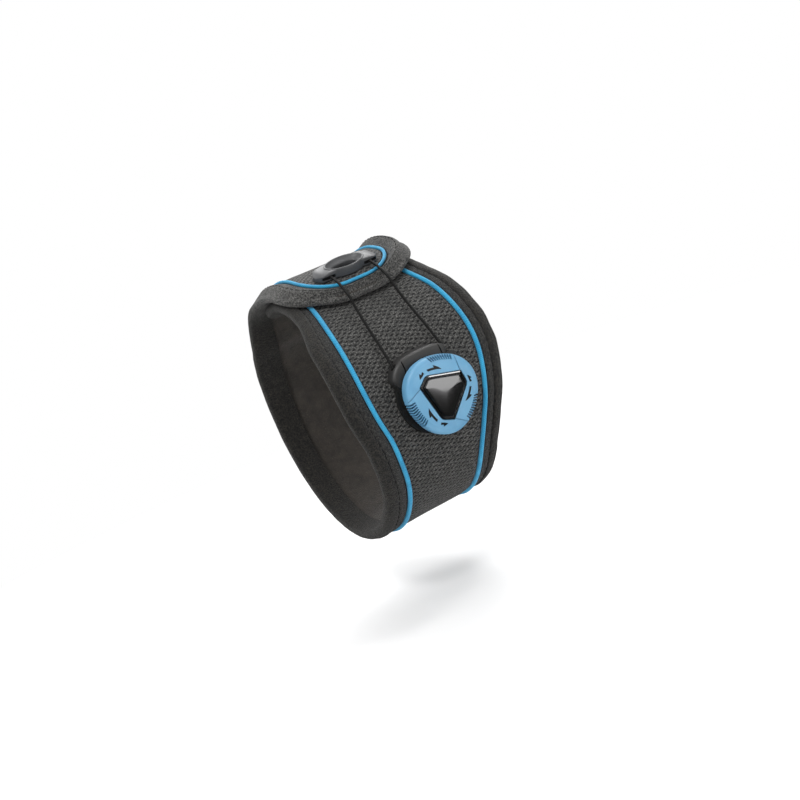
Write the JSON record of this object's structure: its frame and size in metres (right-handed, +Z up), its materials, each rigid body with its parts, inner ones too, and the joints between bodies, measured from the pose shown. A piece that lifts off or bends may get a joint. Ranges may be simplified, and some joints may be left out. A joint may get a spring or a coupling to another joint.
{
  "type": "tennis elbow strap",
  "caption": "Padded forearm strap with bound edges and piping, lapped over itself, tightened by a lace between a winding dial and a guide.",
  "frame": {"origin": "centre of the forearm opening, half-way along the strap's width", "axes": "+X along the forearm from the elbow toward the wrist, -Y straight out of the dial, +Z up through the flap"},
  "size_m": [0.0689, 0.1004, 0.1062],
  "materials": {
    "base_cloth": "soft looped cloth, matt",
    "mesh_cloth": "open knitted mesh, matt",
    "binding_cloth": "fine stretch cloth, matt",
    "piping_cord": "woven cord",
    "guide_plastic": "satin moulded plastic",
    "lace": "smooth coated braid",
    "housing_plastic": "satin moulded plastic",
    "pin_steel": "turned",
    "knob_plastic": "satin moulded plastic",
    "cap_plastic": "polished"
  },
  "bodies": {
    "strap": {"band": "base_cloth", "mesh_panel": "mesh_cloth", "edge_binding": "binding_cloth", "piping": "piping_cord", "lace_guide": "guide_plastic", "lace": "lace", "reel_base": "housing_plastic"},
    "spindle": {"dial_spindle": "pin_steel"},
    "dial": {"dial_knob": "knob_plastic", "dial_cap": "cap_plastic"}
  },
  "joints": [
    {"name": "dial_pull", "type": "slide", "parent": "strap", "child": "spindle", "axis": [0, -1, 0], "range_m": [0, 0.002]},
    {"name": "dial_turn", "type": "hinge", "parent": "spindle", "child": "dial", "pos_m": [0.002, -0.05, 0], "axis": [0, -1, 0], "continuous": true}
  ]
}
